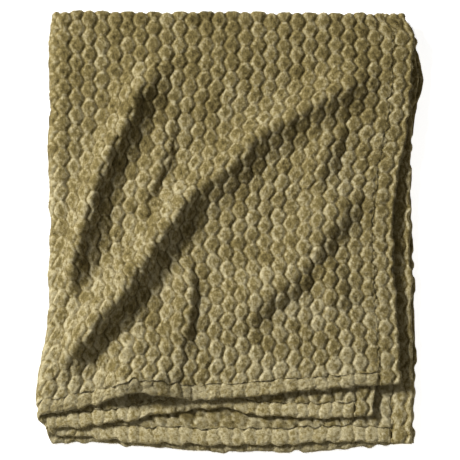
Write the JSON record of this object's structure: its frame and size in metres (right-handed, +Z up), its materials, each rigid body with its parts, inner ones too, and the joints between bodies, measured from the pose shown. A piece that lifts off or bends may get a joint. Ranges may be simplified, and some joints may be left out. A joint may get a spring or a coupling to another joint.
{
  "type": "folded throw blanket",
  "caption": "Plush honeycomb throw folded in quarters and laid flat, with two soft ridges across its top layer and stitched hems on its free edges.",
  "frame": {"origin": "on the ground, under the middle of the folded throw's bounding box", "axes": "+X to the free right edge, away from the left folds; +Y to the far folds, away from the near hems; +Z up, out of the top layer"},
  "size_m": [0.6534, 0.759, 0.0682],
  "materials": {
    "plush": "soft olive-khaki flannel fleece with raised honeycomb tufts, matt with a silky sheen along the pile",
    "hem_thread": "matt polyester sewing thread, a shade darker than the cloth"
  },
  "bodies": {
    "root": {"far_fold_layers_1_2": "plush", "far_fold_layers_3_4": "plush", "layer_1": "plush", "layer_2": "plush", "layer_3": "plush", "layer_4": "plush", "left_fold_layers_1_4": "plush", "left_fold_layers_2_3": "plush", "near_hem_fold_layers_1_4": "plush", "near_hem_fold_layers_2_3": "plush", "near_hem_layer_1": "plush", "near_hem_layer_2": "plush", "near_hem_layer_3": "plush", "near_hem_layer_4": "plush", "near_stitches_layer_1": "hem_thread", "near_stitches_layer_2": "hem_thread", "near_stitches_layer_3": "hem_thread", "near_stitches_layer_4": "hem_thread", "right_hem_fold_layers_1_2": "plush", "right_hem_fold_layers_3_4": "plush", "right_hem_layer_1": "plush", "right_hem_layer_2": "plush", "right_hem_layer_3": "plush", "right_hem_layer_4": "plush", "right_stitches_layers_1_2": "hem_thread", "right_stitches_layers_3_4": "hem_thread"}
  },
  "joints": []
}
